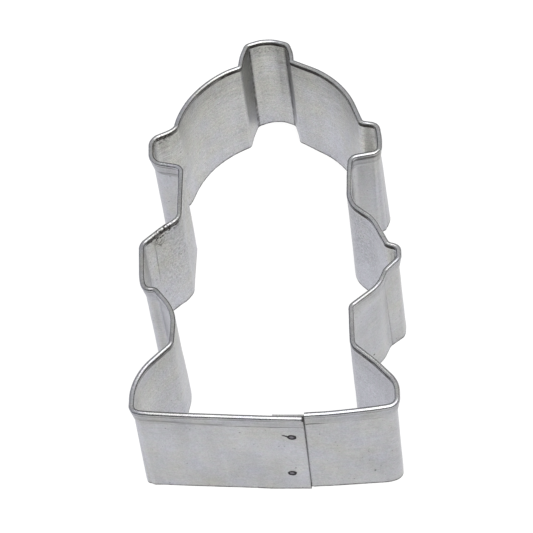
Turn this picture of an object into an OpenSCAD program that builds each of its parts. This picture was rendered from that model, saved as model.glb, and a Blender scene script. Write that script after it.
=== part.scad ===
// Cookie cutter in the outline of a street hydrant, bent from one strip of tinplate.
// The strip stands on its cutting edge. Its upper edge is folded outwards into a hem with a
// round bead, and its two ends lap in the middle of the foot, where two spot welds hold them.
// Z runs from the cutting edge up to the bead, Y from the foot up to the cap nut, X to the right.
// Outline sizes are measured to the middle of the bead, sideways from the hydrant's axis and
// upwards from the seam in the foot.

/* [Foot] */
// Reach of the foot to the left of the axis
foot_left = 20.05; // [17:0.05:24]
// Reach of the foot to the right of the axis
foot_right = 21.85; // [18:0.05:26]
// Height of the foot, up to the waist
foot_h = 14.9; // [12:0.05:19]
// Rise of the foot's left corner above the seam
corner_rise_left = 2.15; // [1:0.05:3]
// Rise of the foot's right corner above the seam
corner_rise_right = 1.85; // [1:0.05:3]
// Bend radius of the foot's two corners
corner_r = 1; // [0.8:0.05:1.5]
// Bend radius of the left flare
flare_left_r = 9.5; // [4:0.1:11]
// Bend radius of the right flare
flare_right_r = 4.5; // [2:0.1:8]

/* [Waist] */
// Reach of the waist to the left of the axis
waist_left = 14.35; // [12:0.05:15.5]
// Reach of the waist to the right of the axis
waist_right = 14.7; // [12:0.05:15.5]
// Height of the waist, from the foot to the outlets
waist_h = 6.9; // [4:0.05:10]
// Bend radius where the waist meets the foot
waist_low_r = 1.5; // [0.8:0.05:3]
// Bend radius where the waist turns out to the left outlet
waist_top_r = 4.5; // [1:0.05:5.5]

/* [Side outlets] */
// Reach of the left outlet's cap to the left of the axis
outlet_left = 20.55; // [19:0.05:24]
// Reach of the right outlet's cap to the right of the axis
outlet_right = 22.6; // [20:0.05:26]
// Height of the outlets, from the waist to the barrel
outlet_h = 19.1; // [15:0.05:24]
// Bend radius of the outlets' cap corners
cap_r = 1; // [0.7:0.05:1.3]
// Bend radius of the long bends that lead up and down to the right outlet's cap
outlet_sweep_r = 7; // [3:0.1:9]

/* [Barrel] */
// Reach of the barrel on both sides of the axis
barrel_half = 14.6; // [13:0.05:15.5]
// Height of the barrel, from the outlets to the lugs
barrel_h = 11.5; // [8:0.05:15]
// Bend radius at the barrel's foot on the left
barrel_left_r = 1.6; // [0.8:0.05:3]
// Bend radius at the barrel's foot on the right
barrel_right_r = 5; // [1:0.05:7]

/* [Lugs] */
// Reach of the left lug to the left of the axis
lug_left = 20.4; // [18.2:0.05:24]
// Reach of the right lug to the right of the axis
lug_right = 19.5; // [18.2:0.05:24]
// Height of the lugs, from the barrel to the dome
lug_h = 9.1; // [7:0.05:12]
// Bend radius of the lugs' corners
lug_r = 1.4; // [0.8:0.05:2]

/* [Dome] */
// Reach of the dome's foot on both sides of the axis
dome_half = 16.35; // [15:0.05:17.5]
// Height of the dome, from the lugs to the cap nut
dome_h = 14.2; // [11:0.05:18]
// Bend radius of the dome
dome_r = 18.5; // [8:0.5:22]

/* [Cap nut] */
// Width of the cap nut at its foot
nut_w = 9.6; // [8:0.05:14]
// Height of the cap nut
nut_h = 6.3; // [4:0.05:9]
// Distance by which the cap nut stands to the left of the axis
nut_shift = 0.8; // [0:0.05:1.5]
// Bend radius of the cap nut's upper corners
nut_corner_r = 1.3; // [0.8:0.05:1.8]
// Bend radius of the cap nut's slightly arched top
crown_r = 8; // [4:0.5:10]
// Bend radius of the tight bends that turn inwards, such as those at the nut's foot
crease_r = 0.85; // [0.7:0.05:1]

/* [Strip] */
// Depth of the cutter, from the cutting edge to the top of the bead
cutter_depth = 22.2; // [18:0.1:30]
// Thickness of the tinplate
sheet_t = 0.3; // [0.2:0.01:0.4]

/* [Hem] */
// Outer radius of the bead that the folded edge makes
bead_r = 0.45; // [0.42:0.01:0.55]
// Height of the hem, from its raw edge to the top of the bead
hem_h = 3.2; // [2.4:0.05:5]
// Height of the band by which the fold lies flat on the wall above its raw edge
hem_flat_h = 0.9; // [0.3:0.05:1.2]

/* [Seam] */
// Distance of the outer end's edge to the right of the axis
seam_x = 7.2; // [3:0.05:12]
// Length by which the inner end runs on behind the outer end
lap_len = 5; // [4:0.05:8]
// Distance between the inner end's bend and the outer end's edge
lap_kink_run = 0.15; // [0.1:0.05:1]
// Bend radius where the inner end turns in behind the outer end
lap_kink_r = 0.8; // [0.6:0.05:2]
// Distance between the inner end's upper edge and the top of the bead
lap_top_drop = 0.9; // [0.6:0.05:2]

/* [Spot welds] */
// Radius of a spot weld
weld_r = 0.8; // [0.5:0.05:1]
// Distance of the upper weld below the top of the bead
weld_upper_drop = 6.2; // [4.5:0.1:9]
// Height of the lower weld above the cutting edge
weld_lower_z = 4.7; // [2:0.1:6]
// Distance between the upper weld and the outer end's edge
weld_upper_in = 2.3; // [1.5:0.05:2.8]
// Distance between the lower weld and the outer end's edge
weld_lower_in = 2.7; // [1.5:0.05:2.8]
// Depth of the dimple that the electrode leaves in each weld
weld_dimple = 0.08; // [0.04:0.01:0.12]

/* [Hidden] */
$fn = 96;

// Overrun that carries every cut past the face it opens
cut = 0.5;

// Shares of a stage's height at which its corners lie
flare_left_share = 0.585;
flare_right_share = 0.425;
waist_right_low_share = 0.92;
waist_right_top_share = -0.07;
shoulder_share = 0.21;
cap_left_low_share = 0.22;
cap_left_top_share = 0.715;
brow_share = 0.91;
lower_sweep_share = 0.18;
cap_right_neck_share = 0.34;
cap_right_low_share = 0.465;
cap_right_top_share = 0.625;
upper_sweep_share = 0.905;
barrel_right_low_share = 0.19;
barrel_right_top_share = 1.05;
lug_left_low_share = 0.14;
lug_left_top_share = 0.72;
lug_right_low_share = 0.16;
lug_right_top_share = 0.9;
dome_left_share = 0.655;
dome_right_foot_share = -0.04;
dome_right_share = 0.67;
nut_right_foot_share = 0.12;
nut_corner_share = 0.85;

// Shares of a stage's reach at which its corners lie
waist_slack_share = 0.983;
shoulder_reach_share = 0.868;
cap_left_low_reach_share = 0.966;
brow_reach_share = 0.835;
lower_sweep_reach_share = 0.832;
cap_right_neck_reach_share = 0.898;
cap_right_notch_reach_share = 0.905;
upper_sweep_reach_share = 0.805;
barrel_slack_share = 0.98;
dome_left_reach_share = 0.9;
dome_right_reach_share = 0.775;
nut_corner_reach_share = 0.79;

// Shares of a stage's bend radius, for the softer or tighter of its bends
lug_under_r_share = 1.6;
cap_tight_r_share = 0.85;
lower_sweep_r_share = 1.15;
cap_neck_r_share = 0.45;
dome_right_r_share = 0.92;

// Share of a straight run that the bends at its two ends may take up together
bend_room_share = 0.98;
// Least bend radius, which leaves the bead a fold that doesn't close on itself
least_r = bead_r + sheet_t / 2;
// Greatest gap between a bend's true arc and the short flats that it is made of
chord_gap = 0.02;
// Number of flats round the upper half of the bead
bead_steps = 4;

// Heights of the stages above the seam
waist_y = foot_h;
outlet_y = waist_y + waist_h;
barrel_y = outlet_y + outlet_h;
lug_y = barrel_y + barrel_h;
dome_y = lug_y + lug_h;
nut_y = dome_y + dome_h;
crown_y = nut_y + nut_h;
nut_left = nut_w / 2 + nut_shift;
nut_right = nut_w / 2 - nut_shift;
nut_corner_half = nut_w / 2 * nut_corner_reach_share;

// Corners of the strip's path with the radius of each bend, clockwise from the seam
foot_left_corners = [
    [-foot_left, corner_rise_left, corner_r],
    [-foot_left, flare_left_share * foot_h, flare_left_r],
    [-waist_left, waist_y, waist_low_r],
];
outlet_left_corners = [
    [-waist_left, outlet_y, waist_top_r],
    [-shoulder_reach_share * outlet_left, outlet_y + shoulder_share * outlet_h, crease_r],
    [-cap_left_low_reach_share * outlet_left, outlet_y + cap_left_low_share * outlet_h, cap_r],
    [-outlet_left, outlet_y + cap_left_top_share * outlet_h, cap_r],
    [-brow_reach_share * outlet_left, outlet_y + brow_share * outlet_h, outlet_sweep_r],
];
lug_left_corners = [
    [-barrel_half, barrel_y, barrel_left_r],
    [-barrel_half / barrel_slack_share, lug_y, lug_r],
    [-lug_left, lug_y + lug_left_low_share * lug_h, lug_r * lug_under_r_share],
    [-lug_left, lug_y + lug_left_top_share * lug_h, lug_r],
];
dome_corners = [
    [-dome_half, dome_y, crease_r],
    [-dome_left_reach_share * dome_half, dome_y + dome_left_share * dome_h, dome_r],
    [-nut_left, nut_y, crease_r],
    [-nut_shift - nut_corner_half, nut_y + nut_corner_share * nut_h, nut_corner_r],
    [-nut_shift, crown_y, crown_r],
    [-nut_shift + nut_corner_half, nut_y + nut_corner_share * nut_h, nut_corner_r],
    [nut_right, nut_y + nut_right_foot_share * nut_h, crease_r],
    [dome_right_reach_share * dome_half, dome_y + dome_right_share * dome_h, dome_r * dome_right_r_share],
    [dome_half, dome_y + dome_right_foot_share * dome_h, crease_r],
];
lug_right_corners = [
    [lug_right, lug_y + lug_right_top_share * lug_h, lug_r],
    [lug_right, lug_y + lug_right_low_share * lug_h, crease_r],
    [barrel_half, barrel_y + barrel_right_top_share * barrel_h, lug_r],
];
outlet_right_corners = [
    [barrel_slack_share * barrel_half, barrel_y + barrel_right_low_share * barrel_h, barrel_right_r],
    [upper_sweep_reach_share * outlet_right, outlet_y + upper_sweep_share * outlet_h, outlet_sweep_r],
    [cap_right_notch_reach_share * outlet_right, outlet_y + cap_right_top_share * outlet_h, crease_r],
    [outlet_right, outlet_y + cap_right_top_share * outlet_h, cap_r * cap_tight_r_share],
    [outlet_right, outlet_y + cap_right_low_share * outlet_h, cap_r],
    [
        cap_right_neck_reach_share * outlet_right,
        outlet_y + cap_right_neck_share * outlet_h,
        outlet_sweep_r * cap_neck_r_share,
    ],
    [
        lower_sweep_reach_share * outlet_right,
        outlet_y + lower_sweep_share * outlet_h,
        outlet_sweep_r * lower_sweep_r_share,
    ],
];
foot_right_corners = [
    [waist_slack_share * waist_right, outlet_y + waist_right_top_share * waist_h, crease_r],
    [waist_right / waist_slack_share, waist_right_low_share * foot_h, waist_low_r],
    [foot_right, flare_right_share * foot_h, flare_right_r],
    [foot_right, corner_rise_right, corner_r],
];

function unit(v) = v / norm(v);
function left_of(v) = [-v.y, v.x];
function flat(p) = [p.x, p.y];
function heading(a, b) = atan2(b.y - a.y, b.x - a.x);

// Seam: the outer end stops at seam_end, and the inner end runs on behind it by the lap
seam_end = [seam_x, 0];
outer_dir = unit(flat(foot_left_corners[0]) - seam_end);
inward = -left_of(outer_dir);
kink_point = seam_end + inward * sheet_t - outer_dir * lap_kink_run;
tab_end = seam_end + inward * sheet_t + outer_dir * lap_len;

// Whole path of the strip, from the outer end round to the inner end
path = concat(
    [[seam_end.x, seam_end.y, 0]],
    foot_left_corners,
    outlet_left_corners,
    lug_left_corners,
    dome_corners,
    lug_right_corners,
    outlet_right_corners,
    foot_right_corners,
    [[kink_point.x, kink_point.y, lap_kink_r], [tab_end.x, tab_end.y, 0]]
);
last = len(path) - 1;
kink = last - 1;

// Turn of the path at a corner, in degrees: positive where the outline turns inwards
function turn_at(i) =
    let (raw = heading(path[i], path[i + 1]) - heading(path[i - 1], path[i]))
    raw > 180 ? raw - 360 : raw < -180 ? raw + 360 : raw;
function run_len(i) = norm(flat(path[i + 1]) - flat(path[i]));
function run_dir(i) = unit(flat(path[i + 1]) - flat(path[i]));

// A bend takes its own radius, or less where the straight runs beside it are short
function wanted_tangent(i) = i == 0 || i == last ? 0 : path[i][2] * tan(abs(turn_at(i)) / 2);
function run_room(i) = bend_room_share * run_len(i) / (wanted_tangent(i) + wanted_tangent(i + 1));
function bend_r(i) = max(least_r, path[i][2] * min(1, run_room(i - 1), run_room(i)));
function tangent(i) = bend_r(i) * tan(abs(turn_at(i)) / 2);

// Stations along a bend, each with a point of the path and the direction outwards
function bend_steps(i) = ceil(abs(turn_at(i)) / (2 * acos(1 - chord_gap / bend_r(i))));
function bend_stations(i) =
    let (
        side = turn_at(i) > 0 ? 1 : -1,
        start = flat(path[i]) - run_dir(i - 1) * tangent(i),
        centre = start + left_of(run_dir(i - 1)) * side * bend_r(i),
        first = heading(path[i - 1], path[i]) - side * 90
    )
    [
        for (k = [0 : bend_steps(i)])
            let (
                angle = first + turn_at(i) * k / bend_steps(i),
                away = [cos(angle), sin(angle)]
            )
            [centre + away * bend_r(i), -side * away]
    ];

// Stations of the whole hemmed strip, and of the inner end that runs on behind the outer one
strip_end = bend_stations(kink)[0];
strip_stations = concat(
    [[seam_end, -inward]],
    [for (i = [1 : kink - 1]) each bend_stations(i)],
    [strip_end]
);
tab_stations = concat(bend_stations(kink), [[tab_end, -inward]]);

// The frame's origin is the middle of the outline's box
outline_x = [for (s = strip_stations) s[0].x];
outline_y = [for (s = strip_stations) s[0].y];
middle = [
    (min(outline_x) + max(outline_x)) / 2,
    (min(outline_y) + max(outline_y)) / 2,
    0,
];

// Heights of the bead's centre and of the upper weld above the cutting edge
bead_z = cutter_depth - bead_r;
weld_upper_z = cutter_depth - weld_upper_drop;
// Inner radius of the bead, which is also the distance from its centre to the wall's outer face
bore_r = bead_r - sheet_t;

// Section of the hem as distances outwards from the bead's centre and heights: round the
// outside of the bead from the wall, down the fold that lies outside the wall, and back inside
raw_edge_z = cutter_depth - hem_h;
fold_z = raw_edge_z + hem_flat_h;
fold_out = sheet_t - bore_r;
fold_lean = atan2(bead_r - fold_out, bead_z - fold_z);
bead_angles = concat([for (k = [0 : bead_steps]) 180 - 180 * k / bead_steps], [-fold_lean]);
hem_section = concat(
    [for (angle = bead_angles) [bead_r * cos(angle), bead_z + bead_r * sin(angle)]],
    [
        [fold_out, fold_z],
        [fold_out, raw_edge_z],
        [-bore_r, raw_edge_z],
        [-bore_r, fold_z],
    ],
    [
        for (k = [len(bead_angles) - 1 : -1 : 0])
            [bore_r * cos(bead_angles[k]), bead_z + bore_r * sin(bead_angles[k])]
    ]
);

// A wall of one sheet's thickness that stands on the cutting edge along a row of stations
module wall(stations, top) {
    inner = [for (s = stations) s[0] - s[1] * bead_r];
    outer = [for (k = [len(stations) - 1 : -1 : 0]) stations[k][0] - stations[k][1] * bore_r];
    linear_extrude(top)
        polygon(concat(inner, outer));
}

// A band's section carried along a row of stations. Its points run down one face of the band and
// back up the other, so each pair that faces each other closes one step of the two ends.
module sweep(stations, section) {
    sides = len(section);
    final = (len(stations) - 1) * sides;
    points = [
        for (s = stations, q = section)
            [s[0].x + s[1].x * q.x, s[0].y + s[1].y * q.x, q.y]
    ];
    skin = [
        for (row = [0 : len(stations) - 2], k = [0 : sides - 1])
            let (from = row * sides, next = (k + 1) % sides)
            [from + k, from + sides + k, from + sides + next, from + next]
    ];
    start_cap = [
        for (k = [0 : sides / 2 - 2])
            [k, k + 1, sides - 2 - k, sides - 1 - k]
    ];
    end_cap = [
        for (k = [0 : sides / 2 - 2])
            [final + sides - 1 - k, final + sides - 2 - k, final + k + 1, final + k]
    ];
    polyhedron(points, concat(skin, start_cap, end_cap));
}

// Places its children on a weld's axis, with Z outwards and zero at the lap's inner face
module at_weld(inset, height) {
    place = seam_end + outer_dir * inset + inward * (bore_r + 2 * sheet_t);
    translate([place.x, place.y, height])
        rotate([0, 0, heading(seam_end, foot_left_corners[0])])
            rotate([-90, 0, 0])
                children();
}

// Holes that the two welds fill in both plies
module weld_holes() {
    for (place = [[weld_upper_in, weld_upper_z], [weld_lower_in, weld_lower_z]])
        at_weld(place[0], place[1])
            translate([0, 0, -cut])
                cylinder(r = weld_r, h = 2 * sheet_t + 2 * cut);
}

// Nugget of fused metal through both plies, with the electrode's dimple on the outside
module weld_nugget(inset, height) {
    dimple_r = (weld_r * weld_r + weld_dimple * weld_dimple) / (2 * weld_dimple);
    color([0.42, 0.42, 0.44])
        translate(-middle)
            at_weld(inset, height)
                difference() {
                    cylinder(r = weld_r, h = 2 * sheet_t);
                    translate([0, 0, 2 * sheet_t - weld_dimple + dimple_r])
                        sphere(r = dimple_r);
                }
}

// Upright wall of the strip, from the outer end round to the bend at the seam
module cutting_wall() {
    color([0.72, 0.73, 0.72])
        translate(-middle)
            difference() {
                wall(strip_stations, bead_z);
                weld_holes();
            }
}

// Folded hem with its bead, which stiffens the upper edge and is kind to the hand
module rolled_rim() {
    color([0.8, 0.81, 0.8])
        translate(-middle)
            sweep(strip_stations, hem_section);
}

// Inner end of the strip, without its hem, which lies flat against the outer end
module lap_tab() {
    color([0.66, 0.67, 0.67])
        translate(-middle)
            difference() {
                wall(tab_stations, cutter_depth - lap_top_drop);
                weld_holes();
            }
}

module weld_upper() {
    weld_nugget(weld_upper_in, weld_upper_z);
}

module weld_lower() {
    weld_nugget(weld_lower_in, weld_lower_z);
}

cutting_wall();
rolled_rim();
lap_tab();
weld_upper();
weld_lower();
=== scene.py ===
import math

import bmesh
import bpy
from mathutils import Matrix, Vector
from mathutils.bvhtree import BVHTree


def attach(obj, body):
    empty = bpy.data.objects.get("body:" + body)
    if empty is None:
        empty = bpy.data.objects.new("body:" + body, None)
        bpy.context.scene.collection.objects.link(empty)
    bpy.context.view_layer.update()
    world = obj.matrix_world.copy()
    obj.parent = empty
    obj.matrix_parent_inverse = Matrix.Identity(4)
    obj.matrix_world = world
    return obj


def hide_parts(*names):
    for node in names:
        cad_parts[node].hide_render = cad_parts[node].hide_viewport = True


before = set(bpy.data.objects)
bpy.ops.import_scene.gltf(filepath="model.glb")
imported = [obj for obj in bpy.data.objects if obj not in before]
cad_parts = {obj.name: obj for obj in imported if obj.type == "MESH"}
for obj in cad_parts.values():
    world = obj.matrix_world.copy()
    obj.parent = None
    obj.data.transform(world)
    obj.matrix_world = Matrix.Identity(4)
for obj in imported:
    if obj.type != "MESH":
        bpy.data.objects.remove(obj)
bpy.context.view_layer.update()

# Camera.
# It stands above the foot of the cutter and looks down on it, as the photograph does. Its place,
# turn and lens were worked out from the corners of the rim and the cutting edge.

image_side = 533
focal_in_pixels = 1830
camera_place = Vector((0.0274355, -0.1952822, 0.2598941))
camera_turn = math.radians(8.58183)
camera_tilt = math.radians(38.06707)
camera_roll = math.radians(-8.83982)


def placed(name, data):
    """Puts a new object into the scene."""
    made = bpy.data.objects.new(name, data)
    bpy.context.scene.collection.objects.link(made)
    return made


camera_data = bpy.data.cameras.new("camera")
camera_data.sensor_width = 36
camera_data.lens = camera_data.sensor_width * focal_in_pixels / image_side
camera_data.clip_start = 0.01
camera_data.clip_end = 20
camera = placed("camera", camera_data)
camera.matrix_world = (
    Matrix.Translation(camera_place)
    @ Matrix.Rotation(camera_turn, 4, "Z")
    @ Matrix.Rotation(camera_tilt, 4, "X")
    @ Matrix.Rotation(camera_roll, 4, "Z")
)
bpy.context.scene.camera = camera
bpy.context.scene.view_settings.view_transform = "Standard"

# Cutting wall.
# The strip of tinplate that the cutter is bent from, standing on its sheared lower edge. A bench
# jig bends it round the hydrant's outline, and it stays a little wavy and out of square.

mm = 0.001
cutter_depth = 22.2
sheet_t = 0.3
bead_r = 0.45
bore_r = bead_r - sheet_t
bead_z = cutter_depth - bead_r
wall_below_bead = 0.75
wall_top = bead_z - wall_below_bead
hem_h = 3.2
raw_edge_z = cutter_depth - hem_h
sheared_edge_round = 0.05
seam_slant = 0.29

# The middle of the outline, where the frame's origin lies, from the hydrant's axis and the seam.
outline_middle = Vector((1.04085, 40.8777))

# Corners of the strip's path, clockwise from the outer end at the seam: place from the hydrant's
# axis and the seam, bend radius, how far the rim and the cutting edge of this hand-bent cutter
# stray outwards there, and at one corner how far the edge slides along. All in millimetres.
strip_corners = [
    (7.14, 0.005, 0, 0.12, -0.22),
    (2.0, 0.41, 0, 0.28, 0.15),
    (-12.0, 1.515, 0, 0.35, 0.3),
    (-18.4, 2.02, 0, 0.3, 0.35),
    (-19.35, 2.1, 1.2, 0.1, 0.45),
    (-20.05, 2.85, 1.2, -0.05, 0.8),
    (-20.05, 4.45, 0, -0.1, 1.35),
    (-20.05, 8.72, 10.5, 0.0, 0.3),
    (-14.35, 14.9, 2.0, 0.0, 0.6),
    (-14.35, 17.8, 0, 0.0, 0.1),
    (-14.35, 21.8, 8.0, 0.0, 0.15),
    (-17.84, 25.81, 1.3, -0.2, -0.05),
    (-19.85, 26.0, 1.4, -0.2, 0.15),
    (-19.98, 27.9, 0, 0.1, 0.5),
    (-20.55, 35.46, 1.9, 0.1, 0.5),
    (-17.16, 39.18, 7.0, -0.1, 0.1),
    (-16.0, 39.96, 0, -0.05, -0.1),
    (-14.6, 40.9, 2.3, 0.0, 0.5),
    (-14.75, 46.5, 0, 0.0, 0.45),
    (-14.9, 52.4, 1.4, 0.0, 0.3),
    (-20.4, 53.67, 2.6, -0.05, 0.2),
    (-20.4, 58.95, 2.4, 0.15, 0.2),
    (-17.45, 60.8, 0, -0.2, 0.0),
    (-16.35, 61.5, 1.8, -0.05, 1.1, -0.9),
    (-14.7, 70.8, 18.3, 0.05, 0.35),
    (-5.6, 75.7, 0.85, -0.18, 0.35),
    (-5.15, 78.25, 0, 0.1, 0.4),
    (-4.62, 81.09, 1.0, -0.18, 0.15),
    (-0.8, 82.0, 8.0, 0.07, 0.45),
    (3.25, 81.02, 1.0, -0.22, -0.05),
    (3.57, 78.8, 0, 0.15, 0.2),
    (3.9, 76.5, 0.5, -0.02, 0.25),
    (12.67, 71.01, 17.0, 0.2, 0.0),
    (16.35, 60.93, 0.85, 0.05, 0.0),
    (19.5, 60.59, 1.4, -0.25, 0.7),
    (19.5, 57.5, 0, 0.1, 1.3),
    (19.5, 56.2, 0, 0.1, 1.3),
    (19.5, 54.6, 1.1, 0.05, 0.6),
    (18.75, 53.8, 1.1, 0.0, 0.3),
    (14.6, 52.98, 1.4, -0.08, -0.1),
    (14.49, 49.2, 0, -0.15, 0.05),
    (14.31, 43.09, 5.0, -0.05, 0.25),
    (18.19, 39.09, 7.0, 0.15, 0.2),
    (20.5, 33.5, 1.1, 0.2, 0.3),
    (22.55, 33.4, 1.1, -0.1, 0.6),
    (22.6, 30.68, 1.6, -0.1, 0.45),
    (20.3, 28.29, 3.15, 0.0, 0.1),
    (18.8, 25.24, 8.05, 0.25, 0.25),
    (14.45, 21.32, 1.2, 0.2, 0.3),
    (14.95, 13.71, 2.5, -0.05, 0.1),
    (18.05, 10.39, 0, 0.2, 0.15),
    (21.85, 6.33, 4.5, -0.05, 0.25),
    (21.85, 1.85, 1.5, -0.05, 0.35),
    (20.0, 1.65, 0, 0.05, 0.6),
    (16.5, 1.272, 0, 0.1, 0.4),
    (10.7, 0.646, 0, 0.0, 0.05),
    (7.37, 0.287, 0, -0.3, -0.35),
]


class Wire:
    """One output of a node. Arithmetic on wires adds the Math nodes that work it out."""

    def __init__(self, socket):
        self.socket = socket
        self.tree = socket.id_data

    def maths(self, operation, *others):
        sockets = dict(enumerate((self, *others)))
        return node(self.tree, "ShaderNodeMath", {"operation": operation}, sockets)

    def __add__(self, other):
        return self.maths("ADD", other)

    def __mul__(self, other):
        return self.maths("MULTIPLY", other)

    def __sub__(self, other):
        return self.maths("SUBTRACT", other)

    def __truediv__(self, other):
        return self.maths("DIVIDE", other)

    def __rsub__(self, other):
        return (self * -1.0).maths("ADD", other)

    def __rtruediv__(self, other):
        return self.maths("POWER", -1.0) * other

    __radd__ = __add__
    __rmul__ = __mul__

    def output(self, name):
        """Another output of the same node."""
        return Wire(self.socket.node.outputs[name])

    def clamped(self):
        return self.maths("MAXIMUM", 0.0).maths("MINIMUM", 1.0)

    def band(self, start, end):
        """A soft step from 0 at start to 1 at end."""
        settings = {"interpolation_type": "SMOOTHSTEP"}
        sockets = {"Value": self, "From Min": start, "From Max": end}
        return node(self.tree, "ShaderNodeMapRange", settings, sockets)


def node(tree, kind, settings, sockets, out=0):
    """Adds a node, sets it up and feeds its sockets by place or identifier. Returns an output."""
    made = tree.nodes.new(kind)
    for name, value in settings.items():
        setattr(made, name, value)
    inputs = {socket.identifier: socket for socket in made.inputs}
    for key, value in sockets.items():
        socket = made.inputs[key] if isinstance(key, int) else inputs[key]
        if isinstance(value, Wire):
            tree.links.new(value.socket, socket)
        else:
            socket.default_value = value
    if not made.outputs:
        return made
    return Wire(made.outputs[out])


def capture(tree, geometry, values):
    """Keeps values with the points of a geometry: returns the geometry and the kept values."""
    made = tree.nodes.new("GeometryNodeCaptureAttribute")
    for name, (kind, wire) in values.items():
        made.capture_items.new(kind, name)
        tree.links.new(wire.socket, made.inputs[name])
    tree.links.new(geometry.socket, made.inputs["Geometry"])
    return [Wire(made.outputs["Geometry"]), *[Wire(made.outputs[name]) for name in values]]


def strip_sweep_tree():
    """Carries a section along the strip's corners, round their bends, with the strip's stray."""
    tree = bpy.data.node_groups.new("strip sweep", "GeometryNodeTree")
    interface = tree.interface
    interface.new_socket("Geometry", in_out="OUTPUT", socket_type="NodeSocketGeometry")
    sizes = [
        ("Geometry", "NodeSocketGeometry"),
        ("Section", "NodeSocketObject"),
        ("Bend steps", "NodeSocketInt"),
        ("Run step", "NodeSocketFloat"),
        ("Stray smoothing", "NodeSocketInt"),
        ("Strip depth", "NodeSocketFloat"),
        ("Ripple height", "NodeSocketFloat"),
        ("Ripple length", "NodeSocketFloat"),
        ("Ripple seed", "NodeSocketFloat"),
        ("Seam slant", "NodeSocketFloat"),
        ("Seam reach", "NodeSocketFloat"),
        ("Sharp edge angle", "NodeSocketFloat"),
        ("Metal", "NodeSocketMaterial"),
    ]
    for name, kind in sizes:
        interface.new_socket(name, in_out="INPUT", socket_type=kind)
    entry = tree.nodes.new("NodeGroupInput")
    given = {name: Wire(entry.outputs[name]) for name, _ in sizes}

    def add(kind, settings, sockets, out=0):
        return node(tree, kind, settings, sockets, out)

    def vector(operation, sockets, out=0):
        return add("ShaderNodeVectorMath", {"operation": operation}, sockets, out)

    def named(name):
        settings = {"data_type": "FLOAT"}
        return add("GeometryNodeInputNamedAttribute", settings, {"Name": name})

    def eased(name):
        spread = {"Value": named(name), "Iterations": given["Stray smoothing"]}
        return add("GeometryNodeBlurAttribute", {"data_type": "FLOAT"}, spread)

    def value_at(value, index):
        settings = {"domain": "POINT", "data_type": "FLOAT_VECTOR"}
        return add("GeometryNodeFieldAtIndex", settings, {"Value": value, "Index": index})

    # The path: the corners rounded to their bends, and its straight runs cut into short steps.
    curve = add("GeometryNodeMeshToCurve", {}, {"Mesh": given["Geometry"]})
    fillet = {
        "Curve": curve,
        "Count": given["Bend steps"],
        "Radius": named("bend_radius"),
        "Limit Radius": True,
    }
    curve = add("GeometryNodeFilletCurve", {"mode": "POLY"}, fillet)
    here = add("GeometryNodeInputPosition", {}, {})
    after = add("GeometryNodeOffsetPointInCurve", {}, {"Offset": 1}, "Point Index")
    before = add("GeometryNodeOffsetPointInCurve", {}, {"Offset": -1}, "Point Index")
    there = value_at(here, after)
    run = vector("DISTANCE", {0: here, 1: there}, "Value")
    cuts = (run / given["Run step"]).maths("FLOOR")
    curve = add("GeometryNodeSubdivideCurve", {}, {"Curve": curve, "Cuts": cuts})

    # What is kept with each point of the path: its directions, its bend and its stray.
    tangent = add("GeometryNodeInputTangent", {}, {})
    upright = (0.0, 0.0, 1.0)
    outwards = vector("NORMALIZE", {0: vector("CROSS_PRODUCT", {0: upright, 1: tangent})})
    along = add("GeometryNodeSplineParameter", {}, {}, "Length")
    turn = vector("CROSS_PRODUCT", {0: value_at(tangent, before), 1: value_at(tangent, after)})
    turn = vector("DOT_PRODUCT", {0: turn, 1: upright}, "Value")
    reach = vector("DISTANCE", {0: value_at(here, before), 1: there}, "Value")
    path_values = {
        "path": ("VECTOR", here),
        "outwards": ("VECTOR", outwards),
        "tangent": ("VECTOR", tangent),
        "along": ("FLOAT", along),
        "bend": ("FLOAT", turn / reach),
        "rim": ("FLOAT", eased("rim_shift")),
        "edge": ("FLOAT", eased("edge_shift")),
        "slip": ("FLOAT", eased("edge_slide")),
    }
    kept = capture(tree, curve, path_values)
    curve, path, outwards, tangent, along, bend, rim, edge, slip = kept

    # The section, swept along the path: its points keep their place out of and above the path.
    section = add("GeometryNodeObjectInfo", {}, {"Object": given["Section"]}, "Geometry")
    section = add("GeometryNodeMeshToCurve", {}, {"Mesh": section})
    section_values = {
        "offset": ("VECTOR", here),
        "around": ("FLOAT", add("GeometryNodeSplineParameter", {}, {}, "Length")),
    }
    section, offset, around = capture(tree, section, section_values)
    swept = {"Curve": curve, "Profile Curve": section, "Fill Caps": True}
    mesh = add("GeometryNodeCurveToMesh", {}, swept)
    mesh = add("GeometryNodeFlipFaces", {}, {"Mesh": mesh})
    out_of_path = add("ShaderNodeSeparateXYZ", {}, {"Vector": offset})
    up = out_of_path.output("Y")
    spot = vector("ADD", {0: path, 1: add("ShaderNodeCombineXYZ", {}, {"Z": up})})

    # Every point's own place, with the stray, and a ripple that is strongest at the lower edge.
    rise = up / given["Strip depth"]
    lean = edge + (rim - edge) * rise
    waves = {
        "Vector": spot,
        "W": given["Ripple seed"],
        "Scale": 1.0 / given["Ripple length"],
        "Detail": 1.0,
    }
    ripple = add("ShaderNodeTexNoise", {"noise_dimensions": "4D"}, waves)
    ripple_at_edge = 1.4
    ripple = (ripple - 0.5) * given["Ripple height"] * (ripple_at_edge - rise)
    push = out_of_path + lean + ripple
    place = vector("ADD", {0: spot, 1: vector("SCALE", {0: outwards, "Scale": push})})
    near_seam = (1.0 - along / given["Seam reach"]).clamped()
    slide = (given["Seam slant"] * near_seam + slip) * (1.0 - rise)
    place = vector("ADD", {0: place, 1: vector("SCALE", {0: tangent, "Scale": slide})})
    mesh = add("GeometryNodeSetPosition", {}, {"Geometry": mesh, "Position": place})

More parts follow.
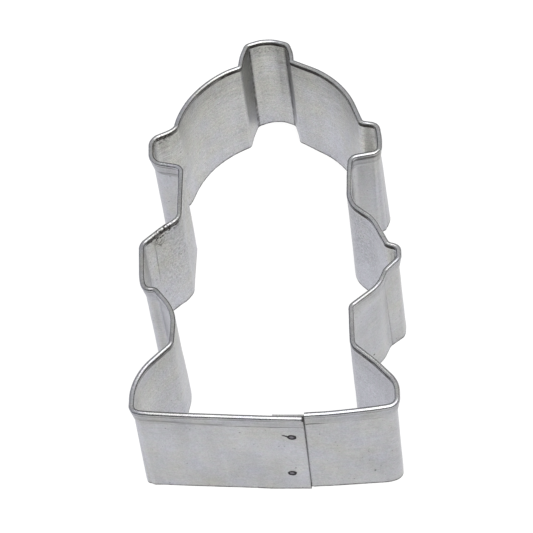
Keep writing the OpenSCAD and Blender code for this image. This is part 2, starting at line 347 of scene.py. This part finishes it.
    # What the shaders read: 1 on the outer face and -1 on the inner one, the bend, and a flat map.
    # The middle of the sheet lies two half-sheets inside the path.
    half_sheet = sheet_t / 2 * mm
    side = (out_of_path / half_sheet + 2.0).maths("MAXIMUM", -1.0).maths("MINIMUM", 1.0)
    for name, value in (("outer_side", side), ("crease", bend * side * mm)):
        stored = {"Geometry": mesh, "Name": name, "Value": value}
        settings = {"data_type": "FLOAT", "domain": "POINT"}
        mesh = add("GeometryNodeStoreNamedAttribute", settings, stored)
    unrolled = add("ShaderNodeCombineXYZ", {}, {"X": along, "Y": around})
    uv = {"Geometry": mesh, "Name": "strip_uv", "Value": unrolled}
    mesh = add("GeometryNodeStoreNamedAttribute", {"data_type": "FLOAT2", "domain": "CORNER"}, uv)

    fold_angle = add("GeometryNodeInputMeshEdgeAngle", {}, {})
    sharp = fold_angle.maths("GREATER_THAN", given["Sharp edge angle"])
    mesh = add("GeometryNodeSetShadeSmooth", {"domain": "FACE"}, {"Geometry": mesh})
    smooth = {"Geometry": mesh, "Selection": sharp, "Shade Smooth": False}
    mesh = add("GeometryNodeSetShadeSmooth", {"domain": "EDGE"}, smooth)
    mesh = add("GeometryNodeRealizeInstances", {}, {"Geometry": mesh})
    mesh = add("GeometryNodeSetMaterial", {}, {"Geometry": mesh, "Material": given["Metal"]})
    leave = tree.nodes.new("NodeGroupOutput")
    tree.links.new(mesh.socket, leave.inputs["Geometry"])
    return tree


strip_sweep = strip_sweep_tree()


def corner_line(name, corners):
    """A line of loose edges through the corners, which carry their bend and their stray."""
    places = []
    for x, y, *_ in corners:
        places.append(((x - outline_middle.x) * mm, (y - outline_middle.y) * mm, 0))
    mesh = bpy.data.meshes.new(name)
    mesh.from_pydata(places, [(k, k + 1) for k in range(len(places) - 1)], [])
    labels = ("bend_radius", "rim_shift", "edge_shift", "edge_slide")
    no_slide = 0.0
    for column, label in enumerate(labels, start=2):
        values = mesh.attributes.new(label, "FLOAT", "POINT")
        values.data.foreach_set("value", [(*corner, no_slide)[column] * mm for corner in corners])
    return mesh


def section_loop(name, points):
    """A closed line through points that are given outwards from the path, and up."""
    mesh = bpy.data.meshes.new(name)
    count = len(points)
    places = [(out * mm, up * mm, 0) for out, up in points]
    mesh.from_pydata(places, [(k, (k + 1) % count) for k in range(count)], [])
    return placed(name, mesh)


def upright_section(top):
    """A section of bare sheet that stands on its sheared edge and ends at the given height."""
    rows = 22
    section = [(-bead_r, sheared_edge_round)]
    for row in range(1, rows):
        section.append((-bead_r, top * row / rows))
    section += [(-bead_r, top), (-bore_r, top)]
    for row in range(rows - 1, 0, -1):
        section.append((-bore_r, top * row / rows))
    section.append((-bore_r, sheared_edge_round))
    section.append((-bore_r - sheared_edge_round, 0.0))
    section.append((-bead_r + sheared_edge_round, 0.0))
    return section


def bend_strip(name, corners, section, metal, slant=0.0):
    """Bends a strip of the given section along the corners and leaves it as a plain mesh."""
    loop = section_loop(name + "_section", section)
    piece = placed(name, corner_line(name, corners))
    sweep = piece.modifiers.new("strip sweep", "NODES")
    sweep.node_group = strip_sweep
    sizes = {
        "Section": loop,
        "Bend steps": 12,
        "Run step": 0.5 * mm,
        "Stray smoothing": 5,
        "Strip depth": cutter_depth * mm,
        "Ripple height": 0.16 * mm,
        "Ripple length": 7 * mm,
        "Ripple seed": 4.0,
        "Seam slant": slant * mm,
        "Seam reach": 6 * mm,
        "Sharp edge angle": math.radians(40),
        "Metal": metal,
    }
    for item in strip_sweep.interface.items_tree:
        if item.name in sizes:
            sweep[item.identifier] = sizes[item.name]
    bpy.context.view_layer.update()
    ready = piece.evaluated_get(bpy.context.evaluated_depsgraph_get())
    mesh = bpy.data.meshes.new_from_object(ready)
    piece.modifiers.remove(sweep)
    piece.data = mesh
    mesh.name = name
    bpy.data.objects.remove(loop)
    return piece


def blank_tree(owner):
    """The emptied node tree of a material or a world."""
    owner.use_nodes = True
    owner.node_tree.nodes.clear()
    return owner.node_tree


def blend(tree, share, first, second):
    """A colour between two others."""
    sockets = {"Factor_Float": share, "A_Color": first, "B_Color": second}
    return node(tree, "ShaderNodeMix", {"data_type": "RGBA"}, sockets, out=2)


warm_tin = (1.0, 1.0, 0.94, 1.0)
cool_tin = (0.967, 0.977, 1.08, 1.0)
pink_fleck = (1.02, 0.985, 1.0, 1.0)
green_fleck = (0.98, 1.01, 0.985, 1.0)
# The dark colour that dirt and painted shade give the tin.
dirt_and_shade_colour = (0.035, 0.03, 0.028, 1.0)
tin_grey = 0.473
# How much darker the outer face is painted than the inner one: painted shade and light.
painted_face_side_shade = 0.027
tin_rough = 0.36
tin_relief = 0.02


def tin(name, piece_marks):
    """Tinplate: a fine grey spangle, rolling streaks, and the dirt and painted shade of one piece.
    """
    metal = bpy.data.materials.new(name)
    tree = blank_tree(metal)

    def add(kind, settings, sockets, out=0):
        return node(tree, kind, settings, sockets, out)

    def vector(operation, sockets):
        return add("ShaderNodeVectorMath", {"operation": operation}, sockets)

    def noise(place, scale, detail, seed):
        settings = {"noise_dimensions": "4D"}
        sockets = {"Vector": place, "Scale": scale, "Detail": detail, "W": seed}
        return add("ShaderNodeTexNoise", settings, sockets)

    def parts(place):
        first = add("ShaderNodeSeparateXYZ", {}, {"Vector": place})
        return [first.output(axis) for axis in "XYZ"]

    def stored(label):
        return add("ShaderNodeAttribute", {"attribute_name": label}, {}, "Fac")

    # Places in millimetres, and stretched ones on the flat map, in features per millimetre.
    looking = add("ShaderNodeTexCoord", {}, {}, "Normal")
    spot = vector("SCALE", {0: looking.output("Object"), "Scale": 1 / mm})
    unrolled = add("ShaderNodeUVMap", {"uv_map": "strip_uv"}, {})
    lengthwise = vector("MULTIPLY", {0: unrolled, 1: (0.3 / mm, 4.0 / mm, 0.0)})
    upright = vector("MULTIPLY", {0: unrolled, 1: (0.45 / mm, 0.05 / mm, 0.0)})
    patches = vector("SCALE", {0: unrolled, "Scale": 0.3 / mm})
    x, y, z = parts(spot)
    facing = parts(looking)
    # Faces that look left, which get a painted bluish light in the tint.
    painted_left_light = (facing[0] * -1.0).band(0.25, 0.85)

    # What the marks of each piece are made of.
    def sharpened(pattern, gain, middle):
        """A pattern with its contrast raised."""
        return ((pattern - 0.5) * gain + middle).clamped()

    marks = {"x": x, "y": y, "z": z, "noise": noise, "spot": spot}
    marks["along"] = parts(unrolled)[0] / mm
    marks["front"] = (facing[1] * -1.0).band(0.3, 0.95)
    marks["outer"] = stored("outer_side")
    marks["crease"] = stored("crease")
    marks["cloud"] = noise(spot, scale=0.12, detail=3.0, seed=1.0)
    marks["mottle"] = noise(spot, scale=1.1, detail=4.0, seed=2.0)
    marks["grain"] = noise(spot, scale=4.0, detail=3.0, seed=3.0)
    marks["streak"] = noise(lengthwise, scale=1.0, detail=3.0, seed=4.0)
    marks["drawn"] = noise(upright, scale=1.0, detail=4.0, seed=6.0)
    blotches = noise(patches, scale=1.0, detail=2.0, seed=8.0)
    marks["patch"] = sharpened(blotches, gain=5.0, middle=0.5)
    marks["broken"] = sharpened(marks["mottle"], gain=4.0, middle=0.6)
    marks["worn"] = sharpened(marks["streak"], gain=5.0, middle=0.5)
    inside = (0.5 - 0.5 * marks["outer"]).clamped()
    marks["inside"] = inside
    dirt_and_shade, lift = piece_marks(marks)
    dirt_and_shade = dirt_and_shade.clamped()

    def swing(label):
        return marks[label] - 0.5

    # Brightness: spangle and streaks, with painted shade that makes the outer face darker and the
    # inner face lighter.
    coarse = 0.5 * swing("cloud") + 0.3 * swing("mottle") + 0.2 * swing("drawn")
    rolled = 0.35 + 0.6 * inside * z.band(12.0, 20.0) * y.band(0.0, 25.0)
    fine = 0.8 * swing("grain") + rolled * swing("streak")
    tone = 1.0 + coarse + fine * (0.8 + 0.6 * inside) + lift
    shade = tone * (tin_grey - painted_face_side_shade * marks["outer"])

    # Tint: warm or cool in slow clouds, cooler near the foot, and a painted bluish light on faces
    # that look left.
    tint = noise(spot, scale=0.3, detail=3.0, seed=5.0)
    fleck = noise(spot, scale=1.7, detail=2.0, seed=7.0)
    coolness = 0.47 + 0.11 * marks["outer"] + (tint - 0.5) * 2.0 - (z - 8.0) * 0.024 * inside
    lower = 1.0 - y.band(-10.0, 25.0)
    coolness = coolness + 0.25 * lower * inside + (0.4 + 0.35 * lower) * painted_left_light
    colour = blend(tree, coolness.clamped(), warm_tin, cool_tin)
    greenness = sharpened(fleck, gain=4.0, middle=0.5)
    pink_or_green = blend(tree, greenness, pink_fleck, green_fleck)
    colour = vector("MULTIPLY", {0: colour, 1: pink_or_green})
    colour = vector("SCALE", {0: colour, "Scale": shade})
    # Dirt and painted shade darken the colour.
    colour = blend(tree, dirt_and_shade, colour, dirt_and_shade_colour)

    # Polish and relief.
    rough = tin_rough + 0.2 * swing("mottle") + 0.15 * swing("cloud") + 0.2 * dirt_and_shade
    rough = rough + 0.06 * inside * (1.0 - z.band(20.5, 21.2)) - 0.14 * z.band(21.2, 21.5)
    height = marks["grain"] * 0.5 + marks["mottle"] * 0.3 + marks["streak"] * 0.2 - dirt_and_shade * 0.5
    bump = {"Height": height, "Strength": 0.2, "Distance": tin_relief * mm}
    normal = add("ShaderNodeBump", {}, bump)
    shader = {"Base Color": colour, "Metallic": 1.0, "Roughness": rough, "Normal": normal}
    surface = add("ShaderNodeBsdfPrincipled", {}, shader)
    add("ShaderNodeOutputMaterial", {}, {"Surface": surface})
    return metal


def near(value, middle, reach):
    """1 where a value meets the middle, falling to 0 at the reach and beyond."""
    return (1.0 - (value - middle).maths("ABSOLUTE") / reach).clamped()


def dabs(marks, places):
    """Dark dabs of dirt and painted shade round places: x, y, z, reach across and up in
    millimetres, and strength.
    """
    gathered = 0.0
    for x, y, z, across, up, strength in places:
        close = near(marks["x"], x, across) * near(marks["y"], y, across) * near(marks["z"], z, up)
        gathered = gathered + (close * 3.0).clamped() * strength
    return gathered


def speckled(marks):
    """Where dirt sticks: small scattered specks."""
    specks = marks["noise"](marks["spot"], scale=2.3, detail=4.0, seed=10.0)
    return specks.band(0.44, 0.62)


def seam_edge_and_shade(marks, middle):
    """The dark line where the outer end stops, painted shade in the gap and its raw cut edge:
    broken on its way up, and darkest at its foot.
    """
    strength = 0.28 + 0.25 * marks["broken"] + 0.45 * (1.0 - marks["z"].band(0.8, 2.2))
    return near(marks["along"], middle, 0.16) * strength


def sheared_edge(marks):
    """The broken dark line along the cutting edge."""
    return (1.0 - marks["z"].band(0.12, 0.55)) * (0.4 + 0.55 * marks["broken"])


def bends_and_smudges(marks):
    """Lighter where a bend turns outwards, and a little darker on the inner face near the rim."""
    smudge = marks["z"].band(15.0, 21.0) * marks["inside"] * (0.02 + 0.1 * marks["worn"])
    ridge = (marks["crease"] * -1.0).band(0.4, 1.1) * 0.08
    return ridge - smudge


def fold_shade_line(across, z, lean, middle):
    """The painted shade of a faint straight fold that runs up a face and leans a little sideways.
    """
    return near(across - z * lean, middle, fold_reach)


# Where dirt has gathered on the inner faces, first right under the rim and then lower down.
dirt_under_rim = [
    (-18.3, -2.2, 21.5, 4.0, 1.3, 0.9),
    (-19.0, -3.2, 20.0, 1.2, 1.8, 0.5),
    (-20.2, 18.6, 21.3, 2.6, 1.2, 0.55),
]
wall_dirt = [
    *dirt_under_rim,
    (-17.9, -1.9, 14.0, 3.0, 9.0, 0.16),
    (-21.2, -9.0, 15.0, 4.0, 14.0, 0.22),
    (-15.7, 5.0, 14.0, 7.0, 14.0, 0.26),
    (16.5, 0.5, 15.0, 5.0, 9.0, 0.2),
    (-20.4, 15.6, 19.4, 2.5, 1.6, 0.35),
    (-3.0, 40.6, 20.2, 4.5, 1.2, 0.35),
    (2.0, 40.2, 17.0, 2.5, 0.8, 0.4),
]

# Small dark pits in the outer face, and how far the faint folds reach.
pit_x = 16.5
pit_z = 4.0
pit_reach = 0.22
fold_reach = 0.14


def wall_marks(marks):
    """A dark line at the sheared edge, painted shade in tight inner bends, along faint folds and
    at the seam, and a painted shade line where the hem's raw edge prints through, with dirt,
    specks and pits.

    Places, heights and reaches are in millimetres.
    """
    z = marks["z"]
    inside = marks["inside"]
    broken = marks["broken"]
    # Painted shade in tight bends on the inner face.
    inner_bend_shade = marks["crease"].band(0.5, 1.2) * inside * (0.35 + 0.45 * broken)
    # A painted shade line where the hem's raw edge prints through the inner face.
    raw_edge_shade = near(z, raw_edge_z, 0.16) * inside * marks["worn"] * marks["patch"] * 0.5
    pit = near(marks["x"], pit_x, pit_reach) * near(z, pit_z, pit_reach) * (1.0 - inside) * 1.6
    speck = marks["noise"](marks["spot"], scale=2.4, detail=1.0, seed=9.0)
    speck = speck.band(0.7, 0.77) * 0.5
    dark_patches = dabs(marks, wall_dirt) * inside * speckled(marks)
    # Painted shade along two faint folds.
    left_fold_shade = fold_shade_line(marks["x"], z, lean=0.037, middle=-20.47)
    left_fold_shade = left_fold_shade * near(marks["y"], -4.0, 1.2) * inside * z.band(7.0, 14.0)
    right_fold_shade = fold_shade_line(marks["y"], z, lean=-0.035, middle=-12.22)
    right_fold_shade = right_fold_shade * near(marks["x"], 19.3, 1.5) * (1.0 - inside)
    right_fold_shade = right_fold_shade * (1.0 - z.band(14.0, 18.0))
    dirt_and_shade = sheared_edge(marks).maths("MAXIMUM", inner_bend_shade) + raw_edge_shade + pit + speck
    dirt_and_shade = dirt_and_shade + dark_patches + seam_edge_and_shade(marks, 0.0) + (left_fold_shade + right_fold_shade) * (0.2 + 0.3 * broken)
    return dirt_and_shade, bends_and_smudges(marks)


wall_section = upright_section(wall_top)
wall_tin = tin("wall tin", wall_marks)
cutting_wall = bend_strip("cutting_wall_sheet", strip_corners, wall_section, wall_tin, seam_slant)
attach(cutting_wall, "root")
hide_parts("cutting_wall")

# Rolled rim.
# The strip's upper edge, folded outwards into a hem with a round bead. It stiffens the cutter,
# keeps the sharp raw edge away from the hand and goes all the way round to the seam.

# The bead in the plane of the section: its middle outwards from the path and up, and its arcs.
bead_middle = (-0.01, 21.73)
bead_outer_r = 0.47
bead_steps = 18
bead_start = math.radians(212)
bead_end = math.radians(-45)
bore_end = math.radians(-20)
bore_steps = 8

# The outside of the rim, from the wall's inner face over the bead and down the hem to its edge.
rim_section = [
    (-bead_r, wall_top),
    (-bead_r, 21.15),
    (-0.435, 21.3),
    (-0.4, 21.43),
]
for step in range(bead_steps + 1):
    angle = bead_start + (bead_end - bead_start) * step / bead_steps
    out = bead_middle[0] + bead_outer_r * math.cos(angle)
    rim_section.append((out, bead_middle[1] + bead_outer_r * math.sin(angle)))
rim_section += [
    (0.25, 21.33),
    (0.25, 21.15),
    (0.26, 20.9),
    (0.23, 20.5),
    (0.16, 20.1),
    (0.08, 19.7),
    (0.01, 19.35),
    (-0.04, raw_edge_z + 0.05),
    (-0.07, raw_edge_z),
    (-0.12, raw_edge_z),
]

# The inside of the fold, from the raw edge up through the bead's hollow and back to the wall.
rim_section += [
    (-bore_r, raw_edge_z + 0.05),
    (-bore_r, 19.9),
]
for step in range(bore_steps + 1):
    angle = bore_end + (math.pi - bore_end) * step / bore_steps
    rim_section.append((bore_r * math.cos(angle), bead_z + bore_r * math.sin(angle)))
rim_section.append((-bore_r, wall_top))

# Dark patches on the outside of the hem: dirt, and painted shade under the bead and along the raw
# edge.
hem_dirt_and_shade = [
    (-18.2, 11.9, 19.5, 3.2, 0.5, 0.6),
    (7.6, -40.4, 19.0, 2.4, 0.5, 0.7),
    (-1.0, -40.2, 19.1, 8.0, 0.4, 0.5),
    (-10.0, -39.6, 19.6, 5.0, 0.4, 0.5),
    (-16.0, -39.2, 20.0, 5.0, 0.4, 0.5),
    (16.3, 12.7, 19.9, 3.2, 0.35, 0.4),
    (15.6, 12.6, 21.2, 3.4, 0.4, 0.9),
]


def rim_marks(marks):
    """Painted shade and dirt in the grooves under the bead, painted shade in the hem's open mouth
    at the seam, along the raw edge and over the hem's band.

    Places, heights and reaches are in millimetres.
    """
    z = marks["z"]
    inside = marks["inside"]
    worn = marks["worn"]
    # Painted shade and dirt in the grooves under the bead, heaviest on faces that look to the
    # front.
    outer_groove_shade = z.band(21.32, 21.44) * (1.0 - z.band(21.6, 21.75))
    inner_groove_shade = z.band(21.22, 21.36) * (1.0 - z.band(21.82, 21.95))
    rightwards = marks["x"].band(-8.0, 8.0)
    front_shade_weight = (0.3 + 0.75 * marks["front"] + 0.25 * rightwards) * inside
    front_shade_weight = front_shade_weight + (0.7 + 0.25 * marks["front"] - 0.15 * rightwards) * (1.0 - inside)
    groove_shade = outer_groove_shade * (1.0 - inside) + inner_groove_shade * inside
    groove_shade = groove_shade * front_shade_weight * (0.6 + 0.25 * marks["broken"] + 0.35 * marks["patch"])
    # Painted shade in the hem's open mouth at the seam.
    seam_mouth_shade = near(marks["along"], 0.0, 0.35) * z.band(21.2, 21.4)
    # Painted shade under the hem's raw edge, broken into patches.
    raw_edge_shade = near(z, raw_edge_z + 0.05, 0.2) * worn * marks["patch"] * 0.6
    # Painted shade over the hem's band below the bead.
    hem_band_shade = 0.12 + 0.1 * marks["patch"] + 0.12 * (worn - 0.5)
    hem_band_shade = hem_band_shade * z.band(18.9, 20.3) * (1.0 - 0.7 * near(z, 20.95, 0.2)) * (1.0 - inside)
    # Dark patches of dirt, and painted shade under the bead and along the raw edge.
    dark_patches = dabs(marks, hem_dirt_and_shade) * (1.0 - inside) * (0.25 + 0.75 * worn)
    smeared = inside.maths("MAXIMUM", z.band(21.8, 22.0))
    dark_patches = dark_patches + dabs(marks, dirt_under_rim) * smeared * speckled(marks)
    dirt_and_shade = groove_shade.maths("MAXIMUM", seam_mouth_shade) + raw_edge_shade + dark_patches
    return dirt_and_shade, bends_and_smudges(marks) - hem_band_shade


rim_tin = tin("rim tin", rim_marks)
rolled_rim = bend_strip("rolled_rim_hem", strip_corners, rim_section, rim_tin, seam_slant)
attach(rolled_rim, "root")
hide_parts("rolled_rim")

# Lap tab.
# The strip's inner end, which runs on behind the outer end so that the two can be welded. Its
# hem is cut away, so that it lies flat against the outer end.

tab_top = cutter_depth - 2 * bead_r

# The path goes on from the strip's last corner, with the same columns.
tab_corners = [
    strip_corners[-1],
    (6.6, 0.345, 0, -0.25, -0.3),
    (2.24, 0.69, 0, -0.02, -0.05),
]


def tab_marks(marks):
    """A dark line along the sheared edge, a darker band along the notched top, and the seam's dark
    line, painted shade and raw cut edge, where the outer end lies on it.
    """
    fall = 1.0 - marks["z"] / cutter_depth
    # The seam's dark line: painted shade in the gap and the raw cut edge.
    seam = seam_edge_and_shade(marks, 0.23 + fall * seam_slant) * marks["outer"].clamped()
    notched = marks["z"].band(tab_top - 0.25, tab_top - 0.05) * 0.4
    return sheared_edge(marks) + notched + seam, 0.0


tab_tin = tin("tab tin", tab_marks)
lap_tab = bend_strip("lap_tab_sheet", tab_corners, upright_section(tab_top), tab_tin)
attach(lap_tab, "root")
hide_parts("lap_tab")

# Upper spot weld.
# The outer end of the strip is welded to the lap behind it. The electrodes leave a raised ring
# round a dimple on both faces, burnt dark, and this weld has spat a short tail to one side.

# The ring's profile from the middle outwards: radius, and rise over the sheet, in millimetres.
weld_ring = [
    (0.16, 0.012),
    (0.32, 0.018),
    (0.42, 0.045),
    (0.5, 0.08),
    (0.57, 0.095),
    (0.64, 0.08),
    (0.7, 0.035),
    (0.72, -0.03),
]
weld_sides = 48
weld_stretch = 1.12
weld_squash = 0.88
oval_wobble = 0.05
lump_wobble = 0.025

# The spat tail is as dark as the ring, and its sides run into the sheet.
tail_burn_radius = 0.6
sunk = -0.04

# Where the outer end stops, the way along its face from there, and the way through the sheets.
seam_end = Vector(strip_corners[0][:2])
outer_direction = Vector((-0.9969, 0.0787))
inward = Vector((0.0787, 0.9969, 0.0))

burnt_ring = (0.03, 0.028, 0.032, 1.0)
violet_middle = (0.2, 0.185, 0.215, 1.0)
faded_brim = (0.12, 0.115, 0.115, 1.0)


def burnt_tin():
    """Weld metal: a pale violet middle, a burnt ring and a brim that fades to the tin."""
    metal = bpy.data.materials.new("weld metal")
    tree = blank_tree(metal)
    place = node(tree, "ShaderNodeTexCoord", {}, {}, "Object")
    scale = {0: place, "Scale": 1 / mm}
    spot = node(tree, "ShaderNodeVectorMath", {"operation": "SCALE"}, scale)
    sockets = {"Vector": spot, "Scale": 4.0, "Detail": 3.0, "W": 8.0}
    crust = node(tree, "ShaderNodeTexNoise", {"noise_dimensions": "4D"}, sockets)
    radius = node(tree, "ShaderNodeAttribute", {"attribute_name": "weld_radius"}, {}, "Fac")
    radius = radius / mm + (crust - 0.5) * 0.15
    colour = blend(tree, 1.0 - radius.band(0.2, 0.45), burnt_ring, violet_middle)
    colour = blend(tree, radius.band(0.62, 0.74), colour, faded_brim)
    rough = 0.5 + 0.3 * (crust - 0.5)
    bump = {"Height": crust, "Strength": 0.4, "Distance": 0.05 * mm}
    normal = node(tree, "ShaderNodeBump", {}, bump)
    shader = {"Base Color": colour, "Metallic": 1.0, "Roughness": rough, "Normal": normal}
    surface = node(tree, "ShaderNodeBsdfPrincipled", {}, shader)
    node(tree, "ShaderNodeOutputMaterial", {}, {"Surface": surface})
    return metal


def face_of(sheet, through, direction):
    """Where a line through the weld first meets a sheet."""
    graph = bpy.context.evaluated_depsgraph_get()
    tree = BVHTree.FromObject(sheet, graph)
    well_outside = 5
    start = through - direction * well_outside * mm
    return tree.ray_cast(start, direction)[0]


def ringed_face(middle, out, sideways, up, phases, first):
    """One side of a weld: its points from the middle outwards, and faces numbered from first."""
    points = [middle + out * weld_ring[0][1] * mm]
    faces = []
    for ring, (radius, rise) in enumerate(weld_ring):
        for side in range(weld_sides):
            turn = 2 * math.pi * side / weld_sides
            oval = oval_wobble * math.cos(2 * turn + phases[0])
            lumps = lump_wobble * math.cos(5 * turn + phases[1])
            across = sideways * math.cos(turn) * weld_stretch
            level = up * math.sin(turn) * weld_squash
            spread = (across + level) * radius * (1 + oval + lumps) * mm
            points.append(middle + spread + out * rise * mm)
            here = first + 1 + ring * weld_sides + side
            after = first + 1 + ring * weld_sides + (side + 1) % weld_sides
            if ring == 0:
                faces.append((first, here, after))
            else:
                faces.append((here - weld_sides, here, after, after - weld_sides))
    return points, faces


def tail_ridge(tail, foot, axis, sideways, up, first):
    """A low ridge that joins the tail's places, with faces numbered from first."""
    run = Vector((tail[-1][0] - tail[0][0], tail[-1][1] - tail[0][1])).normalized()
    points = []
    faces = []
    for across, level, width, rise in tail:
        centre = foot + (sideways * across + up * level) * mm
        beside = (up * run.x - sideways * run.y) * width * mm
        crest = rise * 1.3
        arch = ((-1.0, sunk), (-0.6, rise), (0.0, crest), (0.6, rise), (1.0, sunk))
        for shift, lift in arch:
            points.append(centre + beside * shift + axis * lift * mm)
    count = len(arch)
    for row in range(1, len(tail)):
        start = first + row * count
        for k in range(count):
            after = (k + 1) % count
            faces.append((start + k - count, start + k, start + after, start + after - count))
    last = first + len(points) - 1
    faces.append(tuple(range(first, first + count)))
    faces.append(tuple(range(last, last - count, -1)))
    return points, faces


def spot_weld(name, inset, height, tail):
    """A nugget through both sheets, lying on their actual faces, with a tail along one side."""
    place = seam_end + outer_direction * inset - outline_middle
    through = Vector((place.x * mm, place.y * mm, height * mm))
    outer_face = face_of(cutting_wall, through, inward)
    inner_face = face_of(lap_tab, through, -inward)
    axis = (outer_face - inner_face).normalized()
    sideways = Vector((0, 0, 1)).cross(axis).normalized()
    up = axis.cross(sideways)
    phases = (inset, height)
    points, faces = ringed_face(outer_face, axis, sideways, up, phases, 0)
    half = len(points)
    inner_points, inner_faces = ringed_face(inner_face, -axis, sideways, up, phases, half)
    points += inner_points
    faces += inner_faces
    brim = half - weld_sides
    for side in range(weld_sides):
        after = (side + 1) % weld_sides
        faces.append((brim + side, half + brim + side, half + brim + after, brim + after))
    ring_radii = [radius * mm for radius, _ in weld_ring for _ in range(weld_sides)]
    radii = [0.0, *ring_radii] * 2
    if tail:
        ridge = tail_ridge(tail, outer_face, axis, sideways, up, len(points))
        points += ridge[0]
        faces += ridge[1]
        radii += [tail_burn_radius * mm] * len(ridge[0])
    mesh = bpy.data.meshes.new(name)
    mesh.from_pydata([tuple(point) for point in points], [], faces)
    values = mesh.attributes.new("weld_radius", "FLOAT", "POINT")
    values.data.foreach_set("value", radii)
    ready = bmesh.new()
    ready.from_mesh(mesh)
    bmesh.ops.recalc_face_normals(ready, faces=ready.faces)
    ready.to_mesh(mesh)
    ready.free()
    mesh.polygons.foreach_set("use_smooth", [True] * len(mesh.polygons))
    mesh.materials.append(weld_metal)
    return placed(name, mesh)


weld_metal = burnt_tin()

# The tail's places: along the strip, up, half its width and its rise, in millimetres.
spat_tail = [
    (-0.5, 0.1, 0.25, 0.06),
    (-0.85, 0.3, 0.26, 0.06),
    (-1.25, 0.5, 0.26, 0.06),
    (-1.9, 0.75, 0.24, 0.05),
    (-2.9, 1.08, 0.16, 0.02),
]
weld_upper = spot_weld("weld_upper_nugget", inset=2.24, height=16.05, tail=spat_tail)
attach(weld_upper, "root")
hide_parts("weld_upper")

# Lower spot weld.
# The second weld of the pair, nearer the cutting edge. It is a plain burnt ring, made in the same
# way as the upper one and a little further from the seam.

weld_lower = spot_weld("weld_lower_nugget", inset=3.06, height=5.05, tail=[])
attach(weld_lower, "root")
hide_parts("weld_lower")

# Floor and light.
# A plain pale floor under a white studio. A wide soft lamp hangs overhead, and a low dark screen
# stands all round, well away, as the dark room does round a light table.

floor_reach = 3.0
floor_z = -0.02 * mm
floor_white = (0.85, 0.85, 0.85, 1)
pure_white = (1, 1, 1, 1)
floor_glow = 1.12
floor_glow_share = 0.8
floor_mesh = bpy.data.meshes.new("floor")
floor_corners = [(-1, -1), (1, -1), (1, 1), (-1, 1)]
floor_points = [(x * floor_reach, y * floor_reach, floor_z) for x, y in floor_corners]
floor_mesh.from_pydata(floor_points, [], [(0, 1, 2, 3)])
floor = placed("floor", floor_mesh)

pale = bpy.data.materials.new("pale floor")
tree = blank_tree(pale)
camera_ray = node(tree, "ShaderNodeLightPath", {}, {}, "Is Camera Ray")
seen = camera_ray
for kind in ("Is Glossy Ray", "Is Transmission Ray"):
    seen = seen.maths("MAXIMUM", camera_ray.output(kind))
matt = node(tree, "ShaderNodeBsdfDiffuse", {}, {"Color": floor_white})
white = node(tree, "ShaderNodeEmission", {}, {"Color": pure_white, "Strength": floor_glow})
surface = node(tree, "ShaderNodeMixShader", {}, {0: seen * floor_glow_share, 1: matt, 2: white})
node(tree, "ShaderNodeOutputMaterial", {}, {"Surface": surface})
floor_mesh.materials.append(pale)

studio_glow = 0.55
extra_when_seen = 0.45
extra_when_mirrored = 0.27
world = bpy.data.worlds.new("white studio")
bpy.context.scene.world = world
tree = blank_tree(world)
camera_ray = node(tree, "ShaderNodeLightPath", {}, {}, "Is Camera Ray")
glossy_ray = camera_ray.output("Is Glossy Ray")
mirrored = glossy_ray.maths("MAXIMUM", camera_ray.output("Is Transmission Ray"))
strength = studio_glow + extra_when_seen * camera_ray + extra_when_mirrored * mirrored
sky = node(tree, "ShaderNodeBackground", {}, {"Color": pure_white, "Strength": strength})
node(tree, "ShaderNodeOutputWorld", {}, {"Surface": sky})

lamp_radiance = 2.8
lamp_data = bpy.data.lights.new("overhead softbox", "AREA")
lamp_data.shape = "RECTANGLE"
lamp_data.size = 0.55
lamp_data.size_y = 0.75
lamp_data.energy = lamp_radiance * math.pi * lamp_data.size * lamp_data.size_y
lamp = placed("overhead softbox", lamp_data)
lamp.location = (0.12, -0.18, 0.55)
lamp.visible_camera = False

# The screen is highest behind the camera, lower at the back and lowest at the sides.
screen_reach = 0.9
screen_sides = 72
front_height = 0.85
back_height = 0.5
side_drop = 0.28
front_narrowness = 1.5
screen_points = []
screen_faces = []
for side in range(screen_sides):
    turn = 2 * math.pi * side / screen_sides
    across = screen_reach * math.sin(turn)
    away = -screen_reach * math.cos(turn)
    facing = max(0.0, math.cos(turn)) ** front_narrowness
    height = back_height + (front_height - back_height) * facing
    height -= side_drop * abs(math.sin(turn))
    screen_points += [(across, away, 0.0), (across, away, height)]
    here = 2 * side
    after = 2 * ((side + 1) % screen_sides)
    screen_faces.append((here, after, after + 1, here + 1))
screen_mesh = bpy.data.meshes.new("dark_screen")
screen_mesh.from_pydata(screen_points, [], screen_faces)
screen = placed("dark_screen", screen_mesh)
screen.visible_camera = False
screen.visible_diffuse = False
screen.visible_shadow = False

felt = bpy.data.materials.new("dark felt")
tree = blank_tree(felt)
bluish_left = (0.22, 0.24, 0.28, 1.0)
brownish_right = (0.22, 0.21, 0.19, 1.0)
place = node(tree, "ShaderNodeTexCoord", {}, {}, "Object")
across = node(tree, "ShaderNodeSeparateXYZ", {}, {"Vector": place})
rightness = across.band(-screen_reach, screen_reach)
colour = blend(tree, rightness, bluish_left, brownish_right)
surface = node(tree, "ShaderNodeBsdfDiffuse", {}, {"Color": colour})
node(tree, "ShaderNodeOutputMaterial", {}, {"Surface": surface})
screen_mesh.materials.append(felt)
